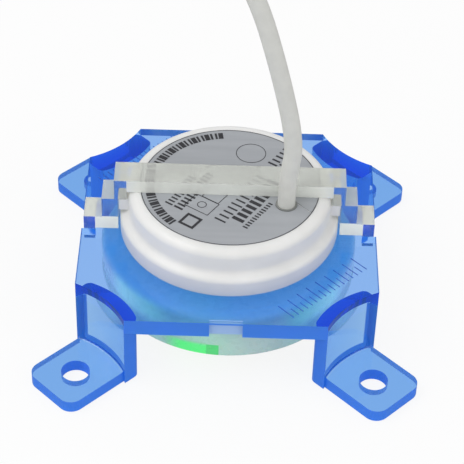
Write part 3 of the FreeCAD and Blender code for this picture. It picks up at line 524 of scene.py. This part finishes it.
def painted_lamp_glow(surface, across, back, up):
    """Shares of the cup's painted bright block, of the painted bright strip beside it, and of the whole
    painted glow.
    """
    front = surface.falling(back, *FRONT_DEPTH)
    in_block = surface.falling(across, BLOCK_RIGHT - EDGE, BLOCK_RIGHT + EDGE)
    past_left = surface.rising(across, BLOCK_LEFT - EDGE, BLOCK_LEFT + EDGE)
    under_block = surface.falling(up, BLOCK_TOP - EDGE, BLOCK_TOP + EDGE)
    block = surface.times(in_block, past_left, under_block, front)
    faded = surface.rising(across, GLOW_LEFT, BRIGHT_LEFT)
    under_glow = surface.falling(up, GLOW_TOP - GLOW_FADE, GLOW_TOP + GLOW_FADE)
    bright = surface.times(surface.less(1.0, past_left), faded, under_glow, front)

    away = surface.node("ShaderNodeVectorMath", operation="DISTANCE")
    surface.link(surface.place, away.inputs[0])
    away.inputs[1].default_value = LAMP_PLACE
    halo = surface.ranged(away.outputs["Value"], HALO_GLOW, 0, *HALO_REACH)
    glow = surface.plus(surface.times(block, BLOCK_GLOW), surface.times(bright, BRIGHT_GLOW))
    return surface.plus(block, bright), surface.most(glow, halo)


def painted_daylight_through(surface, across, back, up):
    """Colour of the painted glow that stands in for the daylight through the cup's thin walls."""
    width = surface.size_of(across)
    sides = surface.times(surface.rising(width, *SIDE_WIDTH), surface.rising(up, *SIDE_HEIGHT))
    beside_legs = surface.ranged(width, 0, LEG_SHARE, *LEG_WIDTH)
    beside_legs = surface.times(beside_legs, surface.falling(back, *LEG_DEPTH))
    through = surface.mixed(surface.most(sides, beside_legs), DARK, PAINTED_SIDE_LIGHT)
    roof = surface.rising(up, *ROOF_HEIGHT)
    through = surface.mixed(roof, through, PAINTED_ROOF_LIGHT)

    distance = surface.node("ShaderNodeVectorMath", operation="LENGTH")
    surface.link(surface.stretched((1, 1, 0)), distance.inputs[0])
    corners = surface.times(
        surface.rising(width, *CORNER_WIDTH),
        surface.falling(back, *CORNER_DEPTH),
        surface.falling(up, *CORNER_HEIGHT),
        surface.rising(distance.outputs["Value"], *CORNER_RADIUS),
    )
    teal = surface.mixed(surface.rising(up, *TEAL_HEIGHT), PAINTED_LOW_TEAL, PAINTED_HIGH_TEAL)
    return surface.summed(through, surface.mixed(corners, DARK, teal))


def milky_plastic():
    """Milky translucent cup, with painted green light from the lamp inside at its lower front left and
    painted daylight through its walls.
    """
    surface = Surface(
        "milky_plastic", (0.45, 0.64, 0.63), 0.3, Subsurface_Weight=0.2, Subsurface_Scale=1.0 * MM,
    )
    surface.vary_roughness(0.22, 0.36, scale=500)
    surface.bump(surface.noise(2500, 2.0), FINE_RELIEF)
    place = surface.parts(surface.place)
    clouds = surface.ranged(surface.noise(70), 0, 1)
    roof = surface.mixed(clouds, (0.43, 0.62, 0.62), (0.47, 0.66, 0.65))
    wall = surface.mixed(clouds, (0.51, 0.70, 0.67), (0.55, 0.74, 0.70))
    plain = surface.mixed(surface.falling(place[2], *WALL_HEIGHT), roof, wall)
    lit, glow = painted_lamp_glow(surface, *place)
    # Painted light: the lamp's light turns the base colour green and glows in the emission
    surface.link(surface.mixed(lit, plain, PAINTED_LIT_COLOUR), surface.shader.inputs["Base Color"])
    # Painted light: glow in place of the daylight through the cup's walls
    through = painted_daylight_through(surface, *place)
    surface.link(surface.mixed(glow, through, GLOW_GREEN), surface.shader.inputs["Emission Color"])
    surface.set("Emission Strength", 1.0)
    return surface.material


def label_foil():
    """Grey foil with a faint brushed grain."""
    surface = Surface("label_foil", (0.44, 0.46, 0.49), 0.42, Metallic=0.2)
    brushed = surface.noise(500, 2.0, surface.stretched((0.1, 1.0, 1.0)))
    share = surface.ranged(brushed, 0, 1)
    colour = surface.mixed(share, (0.425, 0.445, 0.475), (0.455, 0.475, 0.505))
    surface.link(colour, surface.shader.inputs["Base Color"])
    surface.vary_roughness(0.40, 0.46, scale=600)
    surface.bump(brushed, 0.0004 * MM)
    return surface.material


def guide_clear():
    """Clear moulding that carries the lamp's light, its green glow painted as emission."""
    surface = Surface("guide_clear", (0.75, 1.0, 0.82), 0.12, Transmission_Weight=0.9, IOR=1.49)
    surface.absorb((0.4, 0.95, 0.6), 60.0)
    surface.vary_roughness(0.08, 0.2, scale=800)
    # Painted glow: the guide glows green though it is no lamp
    surface.set("Emission Color", (*GLOW_GREEN, 1))
    surface.set("Emission Strength", 0.5)
    return surface.material


def lamp_green():
    """Lit green lamp body."""
    surface = Surface("lamp_green", (0.2, 0.8, 0.35), 0.2)
    surface.vary_colour((0.15, 0.7, 0.3), (0.25, 0.9, 0.4), scale=900)
    surface.vary_roughness(0.15, 0.3, scale=900)
    surface.set("Emission Color", (*GLOW_GREEN, 1))
    surface.set("Emission Strength", 2.0)
    return surface.material


# Colour and roughness of the plain plastics and rubbers, and the shade of their darker clouds
PLASTICS = {
    "seal_rubber": ((0.62, 0.62, 0.60), 0.5),
    "collar_rubber": ((0.26, 0.27, 0.26), 0.55),
    "cable_jacket": ((0.70, 0.705, 0.67), 0.42, 0.95),
    "core_brown": ((0.16, 0.06, 0.025), 0.35),
    "core_blue": ((0.03, 0.10, 0.42), 0.35),
    "core_black": ((0.015, 0.015, 0.015), 0.35),
    "core_white": ((0.80, 0.80, 0.78), 0.35),
    "holder_plastic": ((0.75, 0.75, 0.72), 0.45),
    "board_laminate": ((0.02, 0.17, 0.06), 0.35),
    "chip_epoxy": ((0.02, 0.02, 0.02), 0.5),
    "capacitor_body": ((0.45, 0.28, 0.08), 0.4),
    "resistor_body": ((0.02, 0.02, 0.025), 0.3),
    "potting": ((0.03, 0.03, 0.035), 0.3),
    "flex_film": ((0.50, 0.22, 0.04), 0.3),
}

# Colour and roughness of the plated metals
METALS = {
    "crimp_metal": ((0.6, 0.6, 0.6), 0.3),
    "solder": ((0.66, 0.66, 0.64), 0.25),
    "copper": ((0.85, 0.45, 0.25), 0.3),
    "can_metal": ((0.62, 0.62, 0.60), 0.35),
    "ferrule_metal": ((0.70, 0.70, 0.68), 0.28),
}


# Materials with a function of their own, which has the slot's name
SPECIAL = (
    blue_plastic, frosted_clear, white_ptfe, milky_plastic, label_foil, guide_clear, lamp_green,
)


def make_materials():
    """Every slot's material, by the slot's name."""
    materials = {make.__name__: make() for make in SPECIAL}
    for name, values in PLASTICS.items():
        materials[name] = plain_plastic(name, *values)
    for name, values in METALS.items():
        materials[name] = plain_metal(name, *values)
    return materials


SLOT_OF = {row["node"]: row["material_slot"] for row in frame["record"]["subparts"]}
MATERIALS = make_materials()


def dress(piece, slot):
    """Give a piece its slot's material."""
    piece.data.materials.clear()
    piece.data.materials.append(MATERIALS[slot])


for name, node in nodes.items():
    dress(node, SLOT_OF[name])
dress(cable, "cable_jacket")

# Printed and engraved marks: plain ticks, frames and bars
LABEL_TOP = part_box("label_disc")[1].z
PRINT_LIFT = 0.02 * MM
MARK_THICK = 0.03 * MM
SAME_PLACE = 1e-7
FULL_TURN = 360
QUARTER_TURN = 90


def ink(name, colour, roughness):
    """Printed ink with slightly uneven cover."""
    surface = Surface(name, colour, roughness)
    paler = tuple(INK_SHADE * channel for channel in colour)
    surface.vary_colour(colour, paler, scale=2500)
    surface.vary_roughness(roughness - 0.1, roughness + 0.1, scale=2000)
    return surface.material


def directions(degrees):
    """Unit vectors along an angle and across it."""
    along = Vector((math.cos(math.radians(degrees)), math.sin(math.radians(degrees))))
    return along, Vector((-along.y, along.x))


class Marks:
    """Flat strokes in one plane, gathered into one piece."""

    def __init__(self, height):
        self.mesh = bmesh.new()
        self.height = height

    def plate(self, corners):
        """Thin solid over a flat outline, given in millimetres."""
        low = [self.mesh.verts.new((x * MM, y * MM, self.height)) for x, y in corners]
        high = [self.mesh.verts.new((x * MM, y * MM, self.height + MARK_THICK)) for x, y in corners]
        self.mesh.faces.new(low[::-1])
        self.mesh.faces.new(high)
        for index in range(len(corners)):
            after = (index + 1) % len(corners)
            self.mesh.faces.new((low[index], low[after], high[after], high[index]))

    def bar(self, middle, length, width, degrees):
        """Straight stroke about a middle point."""
        along, across = directions(degrees)
        middle = Vector(middle)
        half, side = along * length / 2, across * width / 2
        self.plate([middle - half - side, middle + half - side, middle + half + side, middle - half + side])

    def ring(self, middle, radius, width, steps):
        """Round stroke about a middle point."""
        middle = Vector(middle)
        inner, outer = radius - width / 2, radius + width / 2
        for index in range(steps):
            first, second = (math.radians(FULL_TURN * turn / steps) for turn in (index, index + 1))
            self.plate([
                middle + Vector((math.cos(turn), math.sin(turn))) * reach
                for turn, reach in ((first, inner), (first, outer), (second, outer), (second, inner))
            ])

    def frame(self, middle, size, width, degrees):
        """Outline of a rectangle about a middle point."""
        along, across = directions(degrees)
        middle = Vector(middle)
        for side in (-1, 1):
            self.bar(middle + across * side * size[1] / 2, size[0] + width, width, degrees)
            self.bar(middle + along * side * size[0] / 2, size[1] - width, width, degrees + QUARTER_TURN)

    def done(self, name, material):
        """Finish the piece and let it ride on the base."""
        data = bpy.data.meshes.new(name)
        bmesh.ops.remove_doubles(self.mesh, verts=self.mesh.verts, dist=SAME_PLACE)
        bmesh.ops.recalc_face_normals(self.mesh, faces=self.mesh.faces)
        self.mesh.to_mesh(data)
        self.mesh.free()
        piece = bpy.data.objects.new(name, data)
        SCENE.collection.objects.link(piece)
        data.materials.append(material)
        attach(piece, "base")
        return piece


PRINT_INK = ink("print_ink", (0.030, 0.030, 0.035), 0.5)

# Marks on the label, in millimetres and degrees
LABEL_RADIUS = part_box("label_disc")[1].x / MM
SLANT = 56
RING_RADIUS = 18.2
RING_TICK = 2.1
RING_TICK_WIDTH = 0.5
RING_STEP = 3.4
RING_RUNS = ((98, 166), (172, 228))
WIDE_TICK = 2.2
TALL_TICK = 1.15

# Start, number, step, height and width of each slanted row of ticks
TICK_ROWS = (
    ((-13.6, -6.8), 9, 1.1, 1.7, 0.45),
    ((-11.4, -8.2), 11, 1.2, 2.0, 0.55),
    ((-2.0, -12.0), 11, 1.6, 2.5, 0.45),
    ((2.0, -11.6), 9, 1.7, 2.6, 0.95),
    ((3.6, -14.2), 12, 0.9, 1.1, 0.4),
    ((9.6, 8.2), 6, 1.5, 2.1, 0.5),
    ((12.0, 7.6), 5, 1.5, 1.7, 0.45),
)

# Middle, size and line width of each slanted frame
FRAMES = (
    ((-6.2, -6.9), (4.6, 6.2), 0.16),
    ((-3.4, -3.7), (3.6, 4.4), 0.16),
    ((-8.6, -12.6), (3.4, 3.4), 0.6),
)

# Middle, radius, line width and steps of each circle, the label's rim first
CIRCLES = (
    ((0, 0), LABEL_RADIUS - 0.12, 0.14, 120),
    ((-6.2, -6.9), 1.0, 0.16, 24),
    ((4.6, 11.9), 3.4, 0.14, 48),
)


def ring_ticks(marks, start, stop):
    """Radial ticks round the label's middle, every third one wider."""
    count = int((stop - start) / RING_STEP)
    for index in range(count + 1):
        degrees = start + index * RING_STEP
        width = RING_TICK_WIDTH * (WIDE_TICK if index % 3 == 0 else 1)
        marks.bar(directions(degrees)[0] * RING_RADIUS, RING_TICK, width, degrees)


def tick_row(marks, start, count, step, height, width):
    """Row of ticks along a slanted line, every fourth one taller."""
    along, _ = directions(SLANT)
    for index in range(count):
        size = height if index % 4 else height * TALL_TICK
        marks.bar(Vector(start) + along * index * step, size, width, SLANT + QUARTER_TURN)


def print_label():
    """Plain marks on the label."""
    marks = Marks(LABEL_TOP + PRINT_LIFT)
    for run in RING_RUNS:
        ring_ticks(marks, *run)
    for row in TICK_ROWS:
        tick_row(marks, *row)
    for frame_marks in FRAMES:
        marks.frame(*frame_marks, SLANT)
    for circle in CIRCLES:
        marks.ring(*circle)
    marks.done("label_print", PRINT_INK)


print_label()

# Engraved scales on the plate, in millimetres and degrees
PLATE_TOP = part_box("mounting_bracket")[1].z
BAND_INNER = 27.6
BAND_OUTER = 32.5
BAND_HALF = 11.6
SCALE_TICKS = 17
SHORT_TICK = 0.5
SCALE_LINE = 0.22
DIAGONAL = 45


def engrave_ink():
    """Cut line in the clear plate, a dark blue."""
    surface = Surface("engraved_line", (0.02, 0.08, 0.45), 0.3)
    surface.vary_colour((0.015, 0.06, 0.40), (0.04, 0.14, 0.60), scale=1500)
    return surface.material


def engrave_plate():
    """Plain engraved scales beside two of the plate's corners."""
    material = engrave_ink()
    along, _ = directions(DIAGONAL)
    tall = BAND_OUTER - BAND_INNER
    for name, side in (("plate_scale_front", 1), ("plate_scale_back", -1)):
        marks = Marks(PLATE_TOP + PRINT_LIFT)
        outward = Vector((side, -side)).normalized()
        for index in range(SCALE_TICKS):
            offset = BAND_HALF * (2 * index / (SCALE_TICKS - 1) - 1)
            size = tall if index % 2 == 0 else tall * SHORT_TICK
            middle = outward * (BAND_OUTER - size / 2) + along * offset
            marks.bar(middle, size, SCALE_LINE, DIAGONAL - QUARTER_TURN)
        marks.done(name, material)


engrave_plate()

# Studio: pale floor, white surroundings and soft lamps
FLOOR_SIDE = 8.0
FLOOR_DROP = 0.1 * MM
FLOOR_GREY = (0.86, 0.86, 0.86, 1)
FLOOR_KEEPS = 0.12
MIRRORED_LIGHT = 0.30
WORLD_LIGHT = 0.72
OVERHEAD_LIGHT = 0.45

# Upward parts of a ray's direction where the dimmer overhead light begins and is full
OVERHEAD_START = (0.12, 0.35)


class Shaders:
    """Small node set of the floor and the world, with its choices by kind of ray."""

    def __init__(self, tree, output):
        self.tree = tree
        tree.nodes.clear()
        self.output = tree.nodes.new(output)
        self.path = tree.nodes.new("ShaderNodeLightPath")

    def light(self, kind, strength):
        """Plain white light of one strength."""
        node = self.tree.nodes.new(kind)
        node.inputs["Color"].default_value = (1, 1, 1, 1)
        node.inputs["Strength"].default_value = strength
        return node.outputs[0]

    def seen(self, *kinds):
        """1 for rays of the given kinds, 0 for others."""
        total = self.tree.nodes.new("ShaderNodeMath")
        total.operation = "ADD"
        total.use_clamp = True
        total.inputs[1].default_value = 0
        for kind, socket in zip(kinds, total.inputs):
            self.tree.links.new(self.path.outputs[f"Is {kind} Ray"], socket)
        return total.outputs[0]

    def scaled(self, share, amount):
        """A share times a number."""
        product = self.tree.nodes.new("ShaderNodeMath")
        product.operation = "MULTIPLY"
        self.tree.links.new(share, product.inputs[0])
        product.inputs[1].default_value = amount
        return product.outputs[0]

    def mixed(self, share, first, second):
        """First shader, with the share of the second."""
        mix = self.tree.nodes.new("ShaderNodeMixShader")
        for source, target in zip((share, first, second), mix.inputs):
            self.tree.links.new(source, target)
        return mix.outputs[0]

    def finish(self, shader):
        """Lead the shader into the output."""
        self.tree.links.new(shader, self.output.inputs["Surface"])


def make_floor():
    """Pale floor that looks white and keeps a faint shadow."""
    mesh = bmesh.new()
    half = FLOOR_SIDE / 2
    corners = ((-half, -half), (half, -half), (half, half), (-half, half))
    mesh.faces.new([mesh.verts.new((*corner, -FLOOR_DROP)) for corner in corners])
    data = bpy.data.meshes.new("floor")
    mesh.to_mesh(data)
    mesh.free()
    floor = bpy.data.objects.new("floor", data)
    SCENE.collection.objects.link(floor)
    material = bpy.data.materials.new("floor")
    material.use_nodes = True
    shaders = Shaders(material.node_tree, "ShaderNodeOutputMaterial")
    diffuse = material.node_tree.nodes.new("ShaderNodeBsdfDiffuse")
    diffuse.inputs["Color"].default_value = FLOOR_GREY
    dim, white = (shaders.light("ShaderNodeEmission", level) for level in (MIRRORED_LIGHT, 1.0))
    mirrored = shaders.mixed(shaders.seen("Glossy"), diffuse.outputs[0], dim)
    share = shaders.scaled(shaders.seen("Camera", "Transmission"), 1 - FLOOR_KEEPS)
    shaders.finish(shaders.mixed(share, mirrored, white))
    data.materials.append(material)


def make_world():
    """Even soft light from all round, dimmer in mirrors and from overhead through clear plastic."""
    world = bpy.data.worlds.new("studio")
    world.use_nodes = True
    SCENE.world = world
    tree = world.node_tree
    shaders = Shaders(tree, "ShaderNodeOutputWorld")
    levels = (WORLD_LIGHT, 1.0, MIRRORED_LIGHT, OVERHEAD_LIGHT)
    around, white, dim, overhead = (shaders.light("ShaderNodeBackground", level) for level in levels)
    direction = tree.nodes.new("ShaderNodeTexCoord").outputs["Generated"]
    split = tree.nodes.new("ShaderNodeSeparateXYZ")
    tree.links.new(direction, split.inputs["Vector"])
    upward = tree.nodes.new("ShaderNodeMapRange")
    tree.links.new(split.outputs["Z"], upward.inputs["Value"])
    for socket, value in zip(("From Min", "From Max"), OVERHEAD_START):
        upward.inputs[socket].default_value = value
    passed = shaders.mixed(upward.outputs["Result"], white, overhead)
    light = shaders.mixed(shaders.seen("Glossy"), around, dim)
    light = shaders.mixed(shaders.seen("Transmission"), light, passed)
    shaders.finish(shaders.mixed(shaders.seen("Camera"), light, white))


# Name, place in metres, side in metres and power in watts
LAMPS = (
    ("key_lamp", (-0.45, -0.15, 0.70), 0.60, 2.4),
    ("fill_lamp", (0.60, -0.45, 0.45), 0.60, 0.8),
)


def make_lamps():
    """Large soft lamps aimed at the head."""
    target = Vector((0, 0, 20)) * MM
    for name, place, side, power in LAMPS:
        data = bpy.data.lights.new(name, "AREA")
        data.size = side
        data.energy = power
        lamp = bpy.data.objects.new(name, data)
        SCENE.collection.objects.link(lamp)
        place = Vector(place)
        aim = (target - place).to_track_quat("-Z", "Y").to_matrix().to_4x4()
        lamp.matrix_world = Matrix.Translation(place) @ aim


make_floor()
make_world()
make_lamps()
